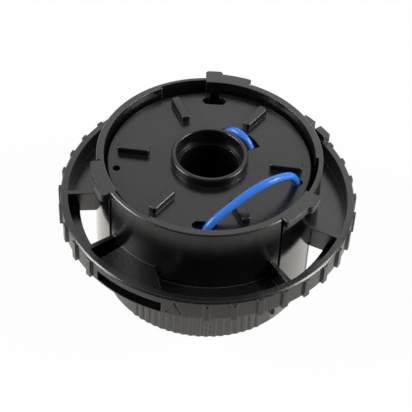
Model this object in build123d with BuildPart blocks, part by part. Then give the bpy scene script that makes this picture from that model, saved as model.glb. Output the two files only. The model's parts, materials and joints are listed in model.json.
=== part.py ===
"""Trimmer line spool in its twist-on cover, with the spring, the wound line and its visible runs."""

import os
from math import asin, cos, degrees, hypot, pi, radians, sin, tan

from build123d import *

os.makedirs("parts", exist_ok=True)

# Cover: cup, flange ring and upper wall
drum_r = 32.3
drum_edge = 1.2
ring_r = 44.6
ring_bottom = 24.2
ring_top = 31.5
ring_edge = 0.5
rim_thickness = 2.2
floor_top = 25.6
wall_base_r = 33.8
wall_top_r = 33.6
wall_top = 47.6
wall_edge = 0.3
bore_top_r = 31.4
bore_base_r = 30.0
cup_floor = 2.2
post_r = 6.0
post_top = 9.0

# Fine grip lines on the lower drum, with plain spans below the windows
knurl_count = 87
knurl_width = 1.2
knurl_height = 0.35
knurl_bottom = 1.4
plain_span = 33
plain_to_exit = 228

# Coarse grip bars on the ring, the first two with a dimple at the top
grip_count = 36
grip_start = 272
grip_width = 1.9
grip_height = 0.7
dimple_width = 0.6
dimple_height = 0.9
dimple_depth = 0.3
dimpled_bars = 2

# Bayonet lugs, the recesses beside them, the pads under them and the windows in the flange
lug_count = 3
lug_first = 82.3
lug_span = 23.6
lug_reach = 1.8
lug_round = 0.7
lug_thickness = 2.6
stop_span = 8.5
stop_reach = 3.0
stop_round = 1.0
recess_span = 26
recess_in_rim = 0.9
recess_depth = 12.0
pad_height = 0.25
pad_bottom = 4.5
pad_edge = 1.0
groove_width = 0.6
groove_depth_in_wall = 1.0
window_first = 81.5
window_span = 30
window_depth = 5.1
window_wall = 1.5

# Line exit box with its slot in the ring
exit_start = 223.6
exit_end_at_wall = 244
exit_end_at_rim = 255.6
exit_top = 30.0
exit_shell = 1.4
exit_roof = 1.0
slot_start = 226.5
slot_end = 255.0
slot_lip = 0.8
port_span = 10

# Raised teeth on the ring and the engraved arrow
tooth_angles = [(34, 40), (43, 48.5), (52, 57)]
tooth_height = 2.3
tooth_inset = 1.8
tooth_overhang = 0.6
arrow_angle = 259.8
arrow_width = 4.4
arrow_height = 4.8
arrow_stroke = 0.6
arrow_depth = 0.35

# Spool
plate_r = 30.5
plate_top = 44.2
plate_thickness = 2.0
plate_edge = 0.35
hub_r = 11.5
hub_top = 47.2
hub_edge = 0.6
hub_mouth = 0.4
hub_bore_r = 10.0
hub_step_depth = 5.0
shaft_bore_r = 9.0
web_bottom = 22.0
web_thickness = 2.0
web_hole_r = 3.5
core_r = 13.2
well_r = 11.4
lower_flange_r = 28.8
lower_flange_bottom = 9.4
lower_flange_thickness = 2.0
rib_first = -5
rib_count = 6
rib_inner_r = 17.9
rib_outer_r = 27.6
rib_width = 2.7
rib_height = 2.2
rib_round = 0.8
rib_edge = 0.2
tee_angles = [89, 269]
tee_r = 26.5
tee_length = 7.2
tee_width = 3.1
tee_stem = 3.0
drain_angle = 191
drain_centre_r = 27.8
drain_r = 1.1

# Line
line_d = 2.4
winding_r = 24.4
winding_turns = 12
groove_depth = 0.7
park_angle = 344.7
park_centre_r = 27.0
arch_rise = 8.3
line_clearance = 0.4
anchor_start = 31
anchor_end = 72
anchor_to_hub = 0.5
anchor_spread = 0.9
anchor_rise = 2.2

# Spring
spring_r = 8.6
spring_wire = 1.5
spring_turns = 5.5
ground_share = 0.35


def sector(inner_r, outer_r, start, end, outer_end=None):
    """Ring sector between two radii and two angles; its outer arc can have an end angle of its own."""
    outer = CenterArc((0, 0), outer_r, start, (outer_end or end) - start)
    inner = CenterArc((0, 0), inner_r, start, end - start)
    return make_face([outer, inner, Line(outer @ 0, inner @ 0), Line(outer @ 1, inner @ 1)])


def around(radius, angle, height=0.0):
    """Point at a radius, an angle and a height."""
    return (radius * cos(radians(angle)), radius * sin(radians(angle)), height)


def bend_radii(points):
    """Largest tangent radii that leave both runs of each corner room."""
    radii = []
    for before, here, after in zip(points, points[1:], points[2:]):
        first = Vector(*here) - Vector(*before)
        second = Vector(*after) - Vector(*here)
        half_turn = radians(first.get_angle(second)) / 2
        radii.append(0.45 * min(first.length, second.length) / tan(half_turn))
    return radii


def span_deg(width, radius):
    """Angle that a width takes up at a radius."""
    return degrees(2 * asin(width / 2 / radius))


def outer_uprights(part, radius):
    """Upright edges on the lugs at a radius or beyond it."""
    uprights = part.edges().filter_by(Axis.Z).filter_by(lambda e: e.center().Z > lug_bottom)
    return uprights.filter_by(lambda e: hypot(e.center().X, e.center().Y) > radius - 0.1)


rim_inner_r = ring_r - rim_thickness
rim_middle_r = ring_r - rim_thickness / 2
wall_bite_r = wall_top_r - wall_edge - 0.3
pad_r = wall_base_r + pad_height
anchor_r = hub_r + line_d / 2 + anchor_to_hub
lug_r = wall_top_r + lug_reach
stop_r = wall_top_r + stop_reach
lug_centres = [lug_first + 360 / lug_count * k for k in range(lug_count)]
window_centres = [window_first + 360 / lug_count * k for k in range(lug_count)]
lug_bottom = wall_top - lug_thickness
ring_height = ring_top - ring_bottom
slot_bottom = ring_bottom + slot_lip
slot_top = exit_top - exit_roof

# Cover
with BuildPart() as cover:
    with BuildSketch(Plane.XZ):
        with BuildLine():
            Polyline(
                [
                    (0, 0),
                    (drum_r - drum_edge, 0),
                    (drum_r, drum_edge),
                    (drum_r, ring_bottom),
                    (ring_r - ring_edge, ring_bottom),
                    (ring_r, ring_bottom + ring_edge),
                    (ring_r, ring_top - ring_edge),
                    (ring_r - ring_edge, ring_top),
                    (rim_inner_r, ring_top),
                    (rim_inner_r, floor_top),
                    (wall_base_r, floor_top),
                    (wall_top_r, wall_top - wall_edge),
                    (wall_top_r - wall_edge, wall_top),
                    (bore_top_r, wall_top),
                    (bore_base_r, cup_floor),
                    (post_r, cup_floor),
                    (post_r, post_top),
                    (0, post_top),
                ],
                close=True,
            )
        make_face()
    revolve(axis=Axis.Z)

    # Windows through the flange, one below each lug
    with BuildSketch(Plane.XY.offset(ring_bottom)):
        for centre in window_centres:
            low = centre - window_span / 2
            high = centre + window_span / 2
            sector(drum_r, wall_base_r + window_depth, low, high)
    extrude(amount=floor_top - ring_bottom, mode=Mode.SUBTRACT)

    # Radial walls at both ends of each window
    window_wall_deg = span_deg(window_wall, rim_inner_r)
    with BuildSketch(Plane.XY.offset(ring_bottom)):
        for centre in window_centres:
            low = centre - window_span / 2
            high = centre + window_span / 2
            sector(wall_bite_r, rim_middle_r, low - window_wall_deg, low)
            sector(wall_bite_r, rim_middle_r, high, high + window_wall_deg)
    extrude(amount=ring_height)

    # Line exit box
    with BuildSketch(Plane.XY.offset(ring_bottom)):
        sector(wall_bite_r, rim_middle_r, exit_start, exit_end_at_wall, exit_end_at_rim)
    extrude(amount=exit_top - ring_bottom)

    # Pads that run from the lugs down the cup
    with BuildSketch(Plane.XY.offset(pad_bottom)):
        for centre in lug_centres:
            sector(bore_top_r, pad_r, centre - lug_span / 2, centre + lug_span / 2)
    extrude(amount=lug_bottom - pad_bottom)
    pad_feet = cover.edges().filter_by(GeomType.CIRCLE).filter_by(
        lambda e: abs(e.center().Z - pad_bottom) < 0.01 and e.radius > pad_r - 0.01
    )
    chamfer(pad_feet, pad_edge)

    # Lugs, each with a stop block at one end
    with BuildSketch(Plane.XY.offset(lug_bottom)):
        for centre in lug_centres:
            sector(wall_bite_r, lug_r, centre - lug_span / 2, centre + lug_span / 2)
    extrude(amount=lug_thickness)
    fillet(outer_uprights(cover, lug_r), lug_round)
    with BuildSketch(Plane.XY.offset(lug_bottom)):
        for centre in lug_centres:
            high = centre + lug_span / 2
            sector(wall_bite_r, stop_r, high - stop_span, high)
    extrude(amount=lug_thickness)
    fillet(outer_uprights(cover, stop_r), stop_round)

    # Grooves that part the pads from the wall, open at the top beside the plain end of each lug
    groove_deg = span_deg(groove_width, wall_base_r)
    groove_r = wall_top_r - groove_depth_in_wall
    with BuildSketch(Plane.XY.offset(floor_top)):
        for centre in lug_centres:
            low = centre - lug_span / 2
            sector(groove_r, stop_r, low - groove_deg, low)
    extrude(amount=wall_top - floor_top, mode=Mode.SUBTRACT)
    with BuildSketch(Plane.XY.offset(floor_top)):
        for centre in lug_centres:
            high = centre + lug_span / 2
            sector(groove_r, stop_r, high, high + groove_deg)
    extrude(amount=lug_bottom - floor_top, mode=Mode.SUBTRACT)

    # Recesses inside the rim, beside the stop end of each lug
    with BuildSketch(Plane.XY.offset(wall_top)):
        for centre in lug_centres:
            high = centre + lug_span / 2
            sector(bore_base_r, bore_top_r + recess_in_rim, high, high + recess_span)
    extrude(amount=-recess_depth, mode=Mode.SUBTRACT)

    # Hollow of the exit box, its slot in the ring and its port in the wall
    shell_wall_deg = span_deg(exit_shell, wall_base_r)
    shell_rim_deg = span_deg(exit_shell, rim_inner_r)
    with BuildSketch(Plane.XY.offset(floor_top)):
        sector(
            wall_base_r,
            rim_inner_r,
            exit_start + shell_wall_deg,
            exit_end_at_wall - shell_wall_deg,
            exit_end_at_rim - shell_rim_deg,
        )
    extrude(amount=slot_top - floor_top, mode=Mode.SUBTRACT)
    with BuildSketch(Plane.XY.offset(slot_bottom)):
        sector(rim_inner_r - slot_lip, ring_r + grip_height, slot_start, slot_end)
    extrude(amount=slot_top - slot_bottom, mode=Mode.SUBTRACT)
    port_centre = (exit_start + exit_end_at_wall) / 2
    with BuildSketch(Plane.XY.offset(floor_top)):
        sector(bore_base_r, wall_base_r + 1, port_centre - port_span / 2, port_centre + port_span / 2)
    extrude(amount=slot_top - floor_top, mode=Mode.SUBTRACT)

    # Coarse grip bars, left out at the slot and the arrow
    bar_angles = [(grip_start + 360 / grip_count * k) % 360 for k in range(grip_count)]
    bar_angles = [angle for angle in bar_angles if not exit_start < angle < grip_start - 1]
    with BuildSketch(Plane.XY.offset(ring_bottom)):
        for angle in bar_angles:
            with PolarLocations(ring_r, 1, start_angle=angle):
                Rectangle(2 * grip_height, grip_width)
    extrude(amount=ring_height - ring_edge)
    with BuildSketch(Plane.XY.offset(ring_top - ring_edge)):
        for angle in bar_angles[:dimpled_bars]:
            with PolarLocations(ring_r + grip_height, 1, start_angle=angle):
                Rectangle(2 * dimple_depth, dimple_width)
    extrude(amount=-dimple_height, mode=Mode.SUBTRACT)

    # Raised teeth on the ring
    with BuildSketch(Plane.XY.offset(ring_top - 1)):
        for start, end in tooth_angles:
            sector(ring_r - tooth_inset, ring_r + tooth_overhang, start, end)
    extrude(amount=1 + tooth_height)

    # Fine grip lines, left out below the windows
    with BuildSketch(Plane.XY.offset(knurl_bottom)):
        for k in range(knurl_count):
            angle = 360 / knurl_count * k
            beside = [abs((angle - centre + 180) % 360 - 180) for centre in window_centres]
            if min(beside) < plain_span / 2 or window_centres[1] < angle < plain_to_exit:
                continue
            with PolarLocations(drum_r, 1, start_angle=angle):
                Rectangle(2 * knurl_height, knurl_width)
    extrude(amount=ring_bottom - knurl_bottom)

    # Engraved arrow
    arrow_face = Plane(
        origin=around(ring_r + arrow_depth, arrow_angle, (ring_bottom + ring_top - arrow_height) / 2),
        x_dir=around(1, arrow_angle + 90),
        z_dir=around(1, arrow_angle),
    )
    with BuildSketch(arrow_face):
        with BuildLine():
            Polyline((-arrow_width / 2, 0), (0, arrow_height), (arrow_width / 2, 0))
        trace(line_width=arrow_stroke)
    extrude(amount=-2 * arrow_depth, mode=Mode.SUBTRACT)

cover.part.label = "cover"
export_step(cover.part, "parts/cover.step")

# Spool
plate_bottom = plate_top - plate_thickness
with BuildPart() as spool:
    with BuildSketch(Plane.XZ):
        with BuildLine():
            Polyline(
                [
                    (well_r, lower_flange_bottom),
                    (lower_flange_r, lower_flange_bottom),
                    (lower_flange_r, lower_flange_bottom + lower_flange_thickness),
                    (core_r, lower_flange_bottom + lower_flange_thickness),
                    (core_r, plate_bottom),
                    (plate_r, plate_bottom),
                    (plate_r, plate_top - plate_edge),
                    (plate_r - plate_edge, plate_top),
                    (hub_r, plate_top),
                    (hub_r, hub_top),
                    (hub_bore_r, hub_top),
                    (hub_bore_r, hub_top - hub_step_depth),
                    (shaft_bore_r, hub_top - hub_step_depth),
                    (shaft_bore_r, web_bottom + web_thickness),
                    (web_hole_r, web_bottom + web_thickness),
                    (web_hole_r, web_bottom),
                    (well_r, web_bottom),
                ],
                close=True,
            )
        make_face()
    revolve(axis=Axis.Z)
    hub_rims = spool.edges().filter_by(lambda e: abs(e.center().Z - hub_top) < 0.01).sort_by(SortBy.RADIUS)
    fillet(hub_rims[-1], hub_edge)
    fillet(hub_rims[0], hub_mouth)

    # Radial ribs on the plate
    with BuildSketch(Plane.XY.offset(plate_top - 0.5)):
        with PolarLocations((rib_inner_r + rib_outer_r) / 2, rib_count, start_angle=rib_first):
            RectangleRounded(rib_outer_r - rib_inner_r, rib_width, rib_round)
    extrude(amount=0.5 + rib_height)
    rib_top = plate_top + rib_height
    rib_tops = spool.faces().filter_by(lambda f: abs(f.center().Z - rib_top) < 0.01)
    chamfer(rib_tops.edges(), rib_edge)

    # Two T-shaped line slots, the drain hole, the parking hole and the anchor slots
    with BuildSketch(Plane.XY.offset(plate_bottom)):
        for angle in tee_angles:
            with PolarLocations(tee_r, 1, start_angle=angle):
                SlotOverall(tee_length, tee_width, rotation=90)
            with PolarLocations((tee_r + plate_r + 1) / 2, 1, start_angle=angle):
                Rectangle(plate_r + 1 - tee_r, tee_stem)
        with PolarLocations(drain_centre_r, 1, start_angle=drain_angle):
            Circle(drain_r)
        with PolarLocations(park_centre_r, 1, start_angle=park_angle):
            Circle(line_d / 2 + line_clearance)
        slot_half = line_d / 2 + line_clearance
        anchor_out_r = anchor_r + anchor_spread
        slot_out_r = anchor_out_r + 1.5 * slot_half
        sector(anchor_out_r - slot_half, slot_out_r, anchor_start - 6, anchor_start + 16)
        slot_in_r = anchor_r + line_d / 2 + line_clearance / 2
        sector(hub_r + line_clearance, slot_in_r, anchor_end - 12, anchor_end + 5)
    extrude(amount=plate_thickness, mode=Mode.SUBTRACT)

spool.part.label = "spool"
export_step(spool.part, "parts/spool.step")

# Wound line, its turns shown by their grooves
winding_bottom = lower_flange_bottom + lower_flange_thickness
turn_pitch = (plate_bottom - winding_bottom) / winding_turns
ridge = []
for k in range(winding_turns):
    low = winding_bottom + turn_pitch * k
    ridge += [
        (winding_r - groove_depth, low),
        (winding_r, low + 0.3 * turn_pitch),
        (winding_r, low + 0.7 * turn_pitch),
    ]
with BuildPart() as line_winding:
    with BuildSketch(Plane.XZ):
        with BuildLine():
            Polyline(
                (core_r, winding_bottom),
                *ridge,
                (winding_r - groove_depth, plate_bottom),
                (core_r, plate_bottom),
                close=True,
            )
        make_face()
    revolve(axis=Axis.Z)

line_winding.part.label = "line_winding"
export_step(line_winding.part, "parts/line_winding.step")

# Line bridge that anchors the inner end
anchor_low = plate_bottom + 0.9
anchor_high = plate_top + anchor_rise
anchor_points = [
    around(anchor_out_r, anchor_start, anchor_low),
    around(anchor_r + 0.7 * anchor_spread, anchor_start + 5.5, plate_top + 0.35 * anchor_rise),
    around(anchor_r, anchor_start + 14, anchor_high),
    around(anchor_r, anchor_end - 14, anchor_high),
    around(anchor_r, anchor_end - 6, plate_top + 0.35 * anchor_rise),
    around(anchor_r, anchor_end, anchor_low),
]
with BuildPart() as line_anchor:
    with BuildLine() as anchor_route:
        FilletPolyline(*anchor_points, radius=bend_radii(anchor_points))
    with BuildSketch(Plane(origin=anchor_route.line @ 0, z_dir=anchor_route.line % 0)):
        Circle(line_d / 2)
    sweep()

line_anchor.part.label = "line_anchor"
export_step(line_anchor.part, "parts/line_anchor.step")

# Free tail of the line, arching from its slot to the parking hole
tail_points = [
    around(winding_r + line_d / 2 + 0.1, tee_angles[1] - 10, plate_bottom - 3.6),
    around(tee_r + 0.4, tee_angles[1] + 1, plate_bottom - 3.1),
    around(tee_r + 0.7, tee_angles[1] + 1.2, plate_top + 0.3),
    around(0.893 * park_centre_r, 285.9, plate_top + 0.56 * arch_rise),
    around(0.848 * park_centre_r, 305.2, plate_top + 0.96 * arch_rise),
    around(0.901 * park_centre_r, 323.7, plate_top + 1.03 * arch_rise),
    around(0.985 * park_centre_r, park_angle - 3.4, plate_top + 0.53 * arch_rise),
    around(park_centre_r, park_angle + 0.5, plate_bottom + 0.2),
]
with BuildPart() as line_tail:
    with BuildLine() as tail_route:
        FilletPolyline(*tail_points, radius=bend_radii(tail_points))
    with BuildSketch(Plane(origin=tail_route.line @ 0, z_dir=tail_route.line % 0)):
        Circle(line_d / 2)
    sweep()

line_tail.part.label = "line_tail"
export_step(line_tail.part, "parts/line_tail.step")

# Spring between the cover's floor and the spool's web, its ends ground flat
coil_bottom = cup_floor + ground_share * spring_wire / 2
coil_top = web_bottom - ground_share * spring_wire / 2
with BuildPart() as spring:
    with BuildLine() as coil:
        coil_height = coil_top - coil_bottom
        Helix(coil_height / spring_turns, coil_height, spring_r, center=(0, 0, coil_bottom))
    with BuildSketch(Plane(origin=coil.line @ 0, z_dir=coil.line % 0)):
        Circle(spring_wire / 2)
    sweep()
    with BuildSketch(Plane.XY.offset(cup_floor)):
        Circle(spring_r + 2 * spring_wire)
    extrude(amount=-2 * spring_wire, mode=Mode.SUBTRACT)
    with BuildSketch(Plane.XY.offset(web_bottom)):
        Circle(spring_r + 2 * spring_wire)
    extrude(amount=2 * spring_wire, mode=Mode.SUBTRACT)

spring.part.label = "spring"
export_step(spring.part, "parts/spring.step")

section = pi * line_d**2 / 4
for name, route, piece in (("anchor", anchor_route, line_anchor), ("tail", tail_route, line_tail)):
    length = sum(edge.length for edge in route.edges())
    print(name, "length", round(length, 2))
    print(name, "volume", round(piece.part.volume, 2), "expected", round(section * length, 2))
print("anchor radii", [round(r, 2) for r in bend_radii(anchor_points)])
print("tail radii", [round(r, 2) for r in bend_radii(tail_points)])
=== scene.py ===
"""Trimmer line spool in its twist-on cover: finishes, the line's free tail, the spring and the stage."""

import json
from math import cos, pi, radians, sin

import bpy
from bpy.props import FloatProperty, FloatVectorProperty, PointerProperty
from mathutils import Matrix, Vector


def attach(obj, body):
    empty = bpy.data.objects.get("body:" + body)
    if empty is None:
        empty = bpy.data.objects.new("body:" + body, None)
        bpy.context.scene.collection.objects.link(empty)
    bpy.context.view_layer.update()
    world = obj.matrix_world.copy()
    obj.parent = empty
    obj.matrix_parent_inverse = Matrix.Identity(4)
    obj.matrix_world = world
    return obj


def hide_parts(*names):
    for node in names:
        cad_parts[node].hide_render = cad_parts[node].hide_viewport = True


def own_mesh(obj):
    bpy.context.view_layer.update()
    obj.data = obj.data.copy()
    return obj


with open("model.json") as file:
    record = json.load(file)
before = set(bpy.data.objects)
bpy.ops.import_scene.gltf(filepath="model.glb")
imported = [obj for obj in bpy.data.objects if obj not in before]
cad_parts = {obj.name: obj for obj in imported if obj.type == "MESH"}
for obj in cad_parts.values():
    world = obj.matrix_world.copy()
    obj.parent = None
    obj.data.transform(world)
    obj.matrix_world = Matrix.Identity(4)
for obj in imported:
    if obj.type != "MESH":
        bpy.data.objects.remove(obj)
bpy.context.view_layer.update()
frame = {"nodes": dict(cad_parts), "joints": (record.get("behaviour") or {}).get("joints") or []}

bl_info = {
    "name": "Trimmer line spool",
    "version": (1, 0, 0),
    "blender": (4, 5, 0),
    "location": "View3D > Sidebar > Spool",
    "description": "Dresses a trimmer line spool and its cover, and sets the stage",
    "category": "Object",
}

# Route of the line's free tail, in metres, as the solids have it
TAIL_ROUTE = [
    (-0.00490, -0.02523, 0.03860),
    (0.00000, -0.02690, 0.03910),
    (0.00009, -0.02720, 0.04450),
    (0.00661, -0.02319, 0.04885),
    (0.01320, -0.01871, 0.05217),
    (0.01961, -0.01440, 0.05275),
    (0.02519, -0.00853, 0.04860),
    (0.02610, -0.00690, 0.04240),
]

# Polished pads of the wall below the lugs
PAD_COUNT = 3
PAD_FIRST = radians(82.3)
PAD_HALF_SPAN = radians(12.4)
PAD_RADIUS = 0.0349
PAD_TOP = 0.0445

# Lamps: name, place and width in metres, power in watts
LAMPS = (
    ("key", (0.12, 0.95, 0.68), 0.8, 1.1),
    ("fill", (-0.95, -0.1, 0.6), 0.6, 10.0),
    ("rim", (0.95, -0.1, 0.6), 0.6, 10.8),
)
LAMP_TARGET = (0, 0, 0.03)

# Camera shift in pixels of the picture
PICTURE_WIDTH = 412
CAMERA_SHIFT = (-1.888, -15.683)

WHITE = (1.0, 1.0, 1.0, 1.0)
WARM_WHITE = (1.0, 0.965, 0.915, 1.0)
BLACK = (0.0, 0.0, 0.0, 1.0)


class Signal:
    """A socket of a material's nodes that takes part in plain arithmetic."""

    def __init__(self, board, socket):
        self.board = board
        self.socket = socket

    def math(self, operation, other, swap=False):
        first, second = (other, self) if swap else (self, other)
        return self.board.add("ShaderNodeMath", {"operation": operation}, {0: first, 1: second})

    def __add__(self, other):
        return self.math("ADD", other)

    def __radd__(self, other):
        return self.math("ADD", other, True)

    def __sub__(self, other):
        return self.math("SUBTRACT", other)

    def __rsub__(self, other):
        return self.math("SUBTRACT", other, True)

    def __mul__(self, other):
        return self.math("MULTIPLY", other)

    def __rmul__(self, other):
        return self.math("MULTIPLY", other, True)


class Board:
    """The node board of one material or of the world."""

    def __init__(self, name, kind="materials"):
        self.owner = getattr(bpy.data, kind).new(name)
        self.owner.use_nodes = True
        self.tree = self.owner.node_tree
        self.tree.nodes.clear()

    def add(self, kind, settings=None, values=None, out=0):
        """Adds a node, sets it up and joins its sockets; returns one of its outputs."""
        node = self.tree.nodes.new(kind)
        for key, value in (settings or {}).items():
            setattr(node, key, value)
        for key, value in (values or {}).items():
            if isinstance(value, Signal):
                self.tree.links.new(value.socket, node.inputs[key])
            else:
                node.inputs[key].default_value = value
        return Signal(self, node.outputs[out]) if node.outputs else node

    def place(self):
        """Position on the piece, in metres."""
        return self.add("ShaderNodeTexCoord", out="Object")

    def axis(self, vector, name):
        """One of a vector's three parts."""
        return self.add("ShaderNodeSeparateXYZ", None, {0: vector}, out=name)

    def rays(self):
        """Whether the ray comes straight from the camera, off a gloss or through a clear piece."""
        kinds = ("Is Camera Ray", "Is Glossy Ray", "Is Transmission Ray")
        return [self.add("ShaderNodeLightPath", out=kind) for kind in kinds]

    def mix(self, share, first, second):
        """Surface between two surfaces."""
        return self.add("ShaderNodeMixShader", None, {0: share, 1: first, 2: second})

    def matt(self, colour):
        return self.add("ShaderNodeBsdfDiffuse", None, {"Color": colour})

    def glow(self, colour):
        return self.add("ShaderNodeEmission", None, {"Color": colour, "Strength": 1.0})

    def noise(self, place, scale, detail=2.0, roughness=0.5):
        """Noise at so many cells a metre."""
        values = {"Vector": place, "Scale": scale, "Detail": detail, "Roughness": roughness}
        return self.add("ShaderNodeTexNoise", {"noise_dimensions": "3D"}, values, out=0)

    def clamp(self, value):
        """Value kept between nought and one."""
        return self.add("ShaderNodeClamp", None, {"Value": value, "Min": 0.0, "Max": 1.0})

    def blend(self, share, first, second):
        """Colour between two colours."""
        settings = {"data_type": "RGBA", "clamp_factor": True}
        return self.add("ShaderNodeMix", settings, {0: share, 6: first, 7: second}, out=2)

    def rounded(self, radius):
        """Normal with its edges rounded off."""
        return self.add("ShaderNodeBevel", {"samples": 6}, {"Radius": radius})

    def edge(self, rounded):
        """Nought on a flat face, rising towards an edge."""
        facing = self.add("ShaderNodeNewGeometry", out="Normal")
        settings = {"operation": "DOT_PRODUCT"}
        return 1.0 - self.add("ShaderNodeVectorMath", settings, {0: rounded, 1: facing}, out="Value")

    def pads(self, place):
        """One on the wall's polished pads, nought elsewhere."""
        x, y, z = (self.axis(place, name) for name in "XYZ")
        turn = self.add("ShaderNodeMath", {"operation": "ARCTAN2"}, {0: y, 1: x})
        phase = PAD_COUNT * turn - PAD_COUNT * PAD_FIRST
        wave = self.add("ShaderNodeMath", {"operation": "COSINE"}, {0: phase})
        around = self.clamp(20.0 * (wave - cos(PAD_COUNT * PAD_HALF_SPAN)))
        inside = self.clamp(1e6 * (PAD_RADIUS**2 - (x * x + y * y)))
        below = self.clamp(2000.0 * (PAD_TOP - z))
        return around * inside * below

    def bump(self, height, strength, distance, normal):
        """Normal from a height map, laid over another normal."""
        values = {"Height": height, "Strength": strength, "Distance": distance, "Normal": normal}
        return self.add("ShaderNodeBump", None, values)

    def surface(self, **values):
        """A principled surface, its sockets named with underscores for spaces."""
        sockets = {key.replace("_", " "): value for key, value in values.items()}
        return self.add("ShaderNodeBsdfPrincipled", None, sockets)

    def finish(self, shader, output="ShaderNodeOutputMaterial"):
        self.add(output, None, {"Surface": shader})
        return self.owner


def moulded_plastic(name, colour, roughness, gloss, grain, scuffed_and_highlit):
    """Black moulded plastic: fine grain, flow marks, an uneven sheen, and edges painted paler as rubbed wear
    and painted highlight.

    With that flag the painted edge highlight and wear are paler, warmer and stronger near the ground, and the
    wall has its polished pads.
    """
    board = Board(name)
    place = board.place()
    flow = board.noise(place, scale=55.0, detail=3.0)
    fine = board.noise(place, scale=2600.0)
    mark = board.noise(place, scale=420.0, detail=4.0, roughness=0.65)
    rounded = board.rounded(0.00035 if scuffed_and_highlit else 0.00025)
    # Painted highlight and rubbed wear near the ground: edges below about 28 mm get a paler, warmer colour
    # and a stronger mask.
    low = board.clamp(2.8 - 100.0 * board.axis(place, "Z")) if scuffed_and_highlit else 0.0
    polish = board.pads(place) if scuffed_and_highlit else 0.0
    # Mask of edges painted paler, as rubbed wear and painted highlight; concave edges get it too.
    rub_and_highlight = board.clamp((3.0 + 3.0 * low) * board.edge(rounded) * (0.35 + mark))
    dark = [0.72 * c for c in colour]
    pale = [1.3 * c for c in colour]
    # Paler edge colours: painted highlight that also stands for rubbed wear.
    edge = 0.12 if scuffed_and_highlit else 0.04
    worn_and_highlight = board.blend(low, (edge, edge, edge, 1.0), (0.20, 0.19, 0.17, 1.0))
    tone = board.blend(0.55 * flow + 0.45 * mark, (*dark, 1.0), (*pale, 1.0))
    sheen = roughness - 0.09 + 0.12 * flow + 0.06 * mark
    shader = board.surface(
        Base_Color=board.blend(rub_and_highlight, tone, worn_and_highlight),
        Roughness=sheen - 0.2 * polish,
        Specular_IOR_Level=gloss,
        Coat_Weight=0.7 * polish,
        Coat_Roughness=0.12,
        Normal=board.bump(0.75 * fine + 0.25 * mark, grain, 0.00012, rounded),
    )
    return board.finish(shader)


def drawn_nylon(name, colour):
    """Blue drawn nylon line: glossy, slightly cloudy, with faint draw marks."""
    board = Board(name)
    place = board.place()
    cloud = board.noise(place, scale=160.0)
    draw = board.noise(place, scale=1800.0)
    deep = [0.72 * c for c in colour]
    tone = board.blend(cloud, (*deep, 1.0), (*colour, 1.0))
    shader = board.surface(
        Base_Color=tone,
        Roughness=0.18 + 0.14 * draw,
        Normal=board.bump(draw, 0.05, 0.0001, board.rounded(0.0001)),
    )
    return board.finish(shader)


def drawn_steel(name, colour):
    """Bright drawn spring wire with fine marks."""
    board = Board(name)
    place = board.place()
    marks = board.noise(place, scale=1400.0, detail=3.0)
    stain = board.noise(place, scale=120.0)
    dull = [0.7 * c for c in colour]
    tone = board.blend(stain, (*dull, 1.0), (*colour, 1.0))
    shader = board.surface(
        Base_Color=tone,
        Metallic=1.0,
        Roughness=0.24 + 0.2 * marks,
        Normal=board.bump(marks, 0.08, 0.00008, board.rounded(0.0001)),
    )
    return board.finish(shader)


def deselect():
    """Leaves nothing selected and nothing active."""
    if bpy.context.mode != "OBJECT":
        bpy.ops.object.mode_set(mode="OBJECT")
    bpy.ops.object.select_all(action="DESELECT")
    bpy.context.view_layer.objects.active = None


def coat(node, material):
    """Gives a piece of the frame its finish."""
    piece = frame["nodes"][node]
    piece.data.materials.clear()
    piece.data.materials.append(material)
    return piece


class SpoolFinish(bpy.types.PropertyGroup):
    """Colours and gloss of the pieces."""

    cover_colour: FloatVectorProperty(
        name="Cover colour",
        description="Black of the cover's plastic",
        subtype="COLOR",
        default=(0.0045, 0.0045, 0.005),
    )
    cover_roughness: FloatProperty(
        name="Cover roughness", description="Sheen of the cover's plastic", default=0.26, min=0.0, max=1.0
    )
    spool_colour: FloatVectorProperty(
        name="Spool colour",
        description="Black of the spool's plastic",
        subtype="COLOR",
        default=(0.0055, 0.0055, 0.0062),
    )
    spool_roughness: FloatProperty(
        name="Spool roughness", description="Sheen of the spool's plastic", default=0.27, min=0.0, max=1.0
    )
    line_colour: FloatVectorProperty(
        name="Line colour", description="Blue of the nylon line", subtype="COLOR", default=(0.055, 0.265, 1.0)
    )
    spring_colour: FloatVectorProperty(
        name="Spring colour",
        description="Tone of the spring's wire",
        subtype="COLOR",
        default=(0.62, 0.62, 0.64),
    )


class SpoolSizes(bpy.types.PropertyGroup):
    """Sizes of the pieces made here."""

    line_diameter: FloatProperty(
        name="Line diameter", description="Thickness of the nylon line", unit="LENGTH", default=0.0024
    )
    wire_diameter: FloatProperty(
        name="Wire diameter", description="Thickness of the spring's wire", unit="LENGTH", default=0.0015
    )
    coil_radius: FloatProperty(
        name="Coil radius", description="Middle of the wire from the axis", unit="LENGTH", default=0.0086
    )
    coil_turns: FloatProperty(name="Coil turns", description="Turns of the spring", default=5.5)
    coil_bottom: FloatProperty(
        name="Coil bottom", description="Height of the spring's lower seat", unit="LENGTH", default=0.0022
    )
    coil_top: FloatProperty(
        name="Coil top", description="Height of the spring's upper seat", unit="LENGTH", default=0.022
    )


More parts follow.
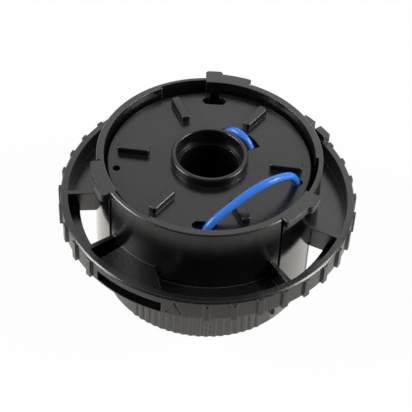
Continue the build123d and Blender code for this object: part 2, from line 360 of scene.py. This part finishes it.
class StageLook(bpy.types.PropertyGroup):
    """Floor, lamps and camera."""

    floor_colour: FloatVectorProperty(
        name="Floor colour", description="Colour of the floor", subtype="COLOR", default=(0.92, 0.92, 0.92)
    )
    ambient: FloatProperty(
        name="Ambient", description="Strength of the room's even light", default=0.05, min=0.0, max=1.0
    )
    backdrop: FloatProperty(
        name="Backdrop", description="Strength of the backdrop in reflections", default=0.48, min=0.0, max=1.0
    )
    distance: FloatProperty(
        name="Camera distance", description="Camera from the ring's top", unit="LENGTH", default=0.4251
    )
    elevation: FloatProperty(
        name="Camera elevation",
        description="Angle above the horizon",
        subtype="ANGLE",
        default=radians(45.59),
    )
    roll: FloatProperty(
        name="Camera roll", description="Tilt about the view", subtype="ANGLE", default=radians(3.105)
    )
    lens: FloatProperty(name="Lens", description="Focal length on a 36 mm sensor, in mm", default=122.25)
    target_height: FloatProperty(
        name="Target height", description="Height that the camera is set about", unit="LENGTH", default=0.0315
    )


class SPOOL_OT_cover(bpy.types.Operator):
    """Finishes the cover's black moulding"""

    bl_idname = "spool.cover"
    bl_label = "Finish the cover"

    def execute(self, context):
        look = context.scene.spool_finish
        plastic = moulded_plastic(
            "cover_black", look.cover_colour, look.cover_roughness, gloss=0.95, grain=0.3, scuffed_and_highlit=True
        )
        coat("cover", plastic)
        return {"FINISHED"}


class SPOOL_OT_body(bpy.types.Operator):
    """Finishes the spool's black moulding"""

    bl_idname = "spool.body"
    bl_label = "Finish the spool"

    def execute(self, context):
        look = context.scene.spool_finish
        plastic = moulded_plastic(
            "spool_black", look.spool_colour, look.spool_roughness, gloss=0.68, grain=0.22, scuffed_and_highlit=False
        )
        coat("spool", plastic)
        return {"FINISHED"}


class SPOOL_OT_line(bpy.types.Operator):
    """Finishes the line and lays its free tail"""

    bl_idname = "spool.line"
    bl_label = "Lay the line"

    def execute(self, context):
        sizes = context.scene.spool_sizes
        nylon = drawn_nylon("line_blue", context.scene.spool_finish.line_colour)
        coat("line_winding", nylon)
        coat("line_anchor", nylon)
        deselect()
        curve = bpy.data.curves.new("line_tail_curve", "CURVE")
        curve.dimensions = "3D"
        curve.resolution_u = 24
        curve.bevel_depth = sizes.line_diameter / 2
        curve.bevel_resolution = 6
        curve.use_fill_caps = True
        spline = curve.splines.new("NURBS")
        spline.points.add(len(TAIL_ROUTE) - 1)
        for point, place in zip(spline.points, TAIL_ROUTE):
            point.co = (*place, 1.0)
        spline.order_u = 3
        spline.use_endpoint_u = True
        tail = bpy.data.objects.new("tail_line", curve)
        context.scene.collection.objects.link(tail)
        curve.materials.append(nylon)
        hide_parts("line_tail")
        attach(tail, "spool")
        return {"FINISHED"}


class SPOOL_OT_spring(bpy.types.Operator):
    """Winds the spring between its seats and carries it with the cover"""

    bl_idname = "spool.spring"
    bl_label = "Wind the spring"

    def execute(self, context):
        sizes = context.scene.spool_sizes
        half = sizes.wire_diameter / 2
        low = sizes.coil_bottom + 0.35 * half
        rise = sizes.coil_top - 0.35 * half - low
        deselect()
        bpy.ops.mesh.primitive_circle_add(
            vertices=12, radius=half, location=(sizes.coil_radius, 0, low), rotation=(pi / 2, 0, 0)
        )
        coil = context.active_object
        coil.name = "spring_coil"
        bpy.ops.object.transform_apply(location=True, rotation=True, scale=True)
        screw = coil.modifiers.new("Turns", "SCREW")
        screw.axis = "Z"
        screw.angle = 2 * pi * sizes.coil_turns
        screw.screw_offset = rise
        screw.steps = screw.render_steps = int(32 * sizes.coil_turns)
        bpy.ops.object.modifier_apply(modifier=screw.name)
        bpy.ops.object.mode_set(mode="EDIT")
        bpy.ops.mesh.select_all(action="SELECT")
        bpy.ops.mesh.remove_doubles(threshold=1e-7)
        bpy.ops.mesh.select_all(action="DESELECT")
        bpy.ops.mesh.select_mode(type="EDGE")
        bpy.ops.mesh.select_non_manifold()
        bpy.ops.mesh.fill_holes(sides=0)
        for height, lower in ((sizes.coil_bottom, True), (sizes.coil_top, False)):
            bpy.ops.mesh.select_all(action="SELECT")
            bpy.ops.mesh.bisect(
                plane_co=(0, 0, height),
                plane_no=(0, 0, 1),
                use_fill=True,
                clear_inner=lower,
                clear_outer=not lower,
            )
        bpy.ops.mesh.select_all(action="SELECT")
        bpy.ops.mesh.normals_make_consistent(inside=False)
        bpy.ops.object.mode_set(mode="OBJECT")
        bpy.ops.object.shade_smooth_by_angle(angle=radians(40))
        coil.data.materials.append(drawn_steel("spring_bright", context.scene.spool_finish.spring_colour))
        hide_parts("spring")
        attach(coil, "cover")
        joint = next(j for j in frame["joints"] if j["name"] == "spool_press")
        travel = max(abs(value) for value in joint["range_m"])
        height = sizes.coil_top - sizes.coil_bottom
        (height - travel) / height
        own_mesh(coil)
        return {"FINISHED"}


class SPOOL_OT_stage(bpy.types.Operator):
    """Sets the floor, the lamps and the camera"""

    bl_idname = "spool.stage"
    bl_label = "Set the stage"

    def floor(self, context, look):
        """White floor that keeps the shadow; in reflections it is warm, and darker towards the viewer."""
        bpy.ops.mesh.primitive_plane_add(size=6.0, location=(0, 0, 0))
        floor = context.active_object
        floor.name = "floor"
        board = Board("floor_white")
        direct, glossy, through = board.rays()
        near = board.clamp(1.2 + 9.0 * board.axis(board.place(), "Y"))
        matt = board.matt((*look.floor_colour, 1.0))
        white = board.mix(0.97 * (direct + through), matt, board.glow(WHITE))
        mirrored = board.mix(near, board.matt(BLACK), board.glow(WARM_WHITE))
        floor.data.materials.append(board.finish(board.mix(glossy, white, mirrored)))

    def room(self, context, look):
        """White backdrop, shaded off towards the viewer's side in reflections, and a faint even light."""
        room = Board("studio", "worlds")
        direct, glossy, through = room.rays()
        depth = room.axis(room.add("ShaderNodeTexCoord", out="Generated"), "Y")
        seen = direct + through + look.backdrop * glossy * room.clamp(0.45 + depth)
        level = look.ambient + (1.0 - look.ambient) * room.clamp(seen)
        sky = room.add("ShaderNodeBackground", None, {"Color": WHITE, "Strength": level})
        context.scene.world = room.finish(sky, "ShaderNodeOutputWorld")

    def lamp(self, context, name, place, size, watts):
        """Round soft lamp aimed at the object."""
        lamp = bpy.data.lights.new(name, "AREA")
        lamp.shape = "DISK"
        lamp.size = size
        lamp.energy = watts
        stand = bpy.data.objects.new(name, lamp)
        context.scene.collection.objects.link(stand)
        aim = Vector(LAMP_TARGET) - Vector(place)
        turn = aim.to_track_quat("-Z", "Y").to_matrix().to_4x4()
        stand.matrix_world = Matrix.Translation(place) @ turn

    def camera(self, context, look):
        """Camera of the photo's view."""
        lean, roll = look.elevation, look.roll
        back = Vector((0, -cos(lean), sin(lean)))
        side = Vector((1, 0, 0))
        top = back.cross(side)
        right = cos(roll) * side + sin(roll) * top
        up = cos(roll) * top - sin(roll) * side
        lens = bpy.data.cameras.new("camera")
        lens.sensor_width = 36.0
        lens.lens = look.lens
        lens.shift_x, lens.shift_y = (shift / PICTURE_WIDTH for shift in CAMERA_SHIFT)
        lens.clip_start = 0.01
        camera = bpy.data.objects.new("camera", lens)
        context.scene.collection.objects.link(camera)
        pose = Matrix((right, up, back)).transposed().to_4x4()
        pose.translation = back * look.distance + Vector((0, 0, look.target_height))
        camera.matrix_world = pose
        context.scene.camera = camera

    def execute(self, context):
        look = context.scene.spool_stage
        deselect()
        self.floor(context, look)
        self.room(context, look)
        for lamp in LAMPS:
            self.lamp(context, *lamp)
        self.camera(context, look)
        context.scene.view_settings.view_transform = "Standard"
        return {"FINISHED"}


class SPOOL_PT_panel(bpy.types.Panel):
    """Steps that dress the spool, in order"""

    bl_label = "Trimmer line spool"
    bl_space_type = "VIEW_3D"
    bl_region_type = "UI"
    bl_category = "Spool"

    def draw(self, context):
        for step in STEPS:
            self.layout.operator(step.bl_idname)


STEPS = (SPOOL_OT_cover, SPOOL_OT_body, SPOOL_OT_line, SPOOL_OT_spring, SPOOL_OT_stage)
GROUPS = (SpoolFinish, SpoolSizes, StageLook)


def register():
    for item in (*GROUPS, *STEPS, SPOOL_PT_panel):
        bpy.utils.register_class(item)
    bpy.types.Scene.spool_finish = PointerProperty(type=SpoolFinish)
    bpy.types.Scene.spool_sizes = PointerProperty(type=SpoolSizes)
    bpy.types.Scene.spool_stage = PointerProperty(type=StageLook)


def unregister():
    del bpy.types.Scene.spool_finish
    del bpy.types.Scene.spool_sizes
    del bpy.types.Scene.spool_stage
    for item in reversed((*GROUPS, *STEPS, SPOOL_PT_panel)):
        bpy.utils.unregister_class(item)


def main():
    register()
    bpy.ops.spool.cover()
    bpy.ops.spool.body()
    bpy.ops.spool.line()
    bpy.ops.spool.spring()
    bpy.ops.spool.stage()


if __name__ == "__main__":
    main()
